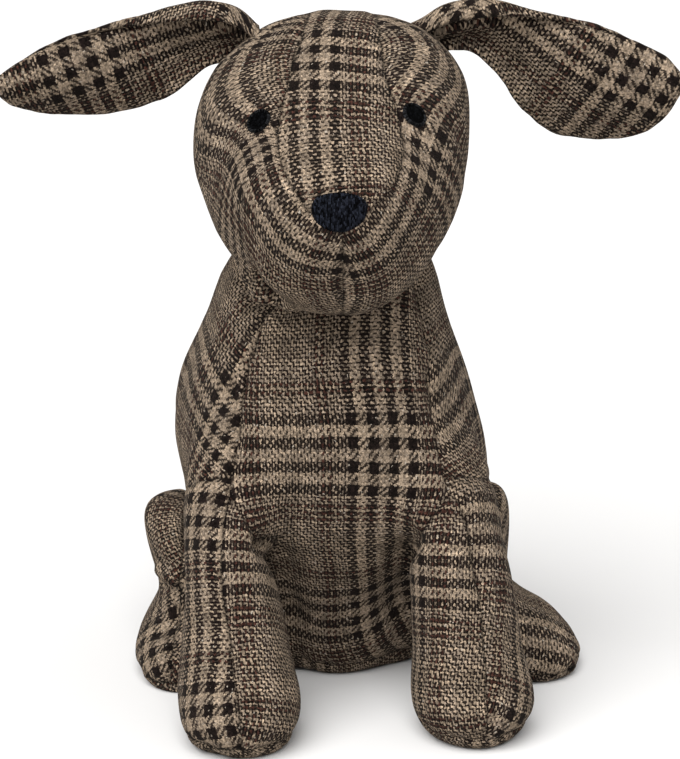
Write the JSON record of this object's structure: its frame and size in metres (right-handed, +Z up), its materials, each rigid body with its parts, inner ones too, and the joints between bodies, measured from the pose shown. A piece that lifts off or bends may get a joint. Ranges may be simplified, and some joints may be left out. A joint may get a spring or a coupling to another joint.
{
  "type": "dog doorstop",
  "caption": "Filled cloth doorstop in the shape of a sitting dog, of brown and beige check cloth, with ears that stand out sideways and an embroidered nose and eyes.",
  "frame": {"origin": "middle of the flat underside of the body, at the level of the soles", "axes": "+Z up, -Y the way the dog faces, +X towards a viewer's right as seen from the front"},
  "size_m": [0.2621, 0.1875, 0.2728],
  "materials": {
    "check_cloth": "brushed wool-like twill in a small and large check of taupe and dark brown, with a thin rust line",
    "embroidery": "satin stitch in navy-black thread"
  },
  "bodies": {
    "root": {"torso": "check_cloth", "head": "check_cloth", "front_leg_left": "check_cloth", "front_leg_right": "check_cloth", "hind_leg_left": "check_cloth", "hind_leg_right": "check_cloth", "ear_left": "check_cloth", "ear_right": "check_cloth", "eye_left": "embroidery", "eye_right": "embroidery", "nose": "embroidery"}
  },
  "joints": []
}
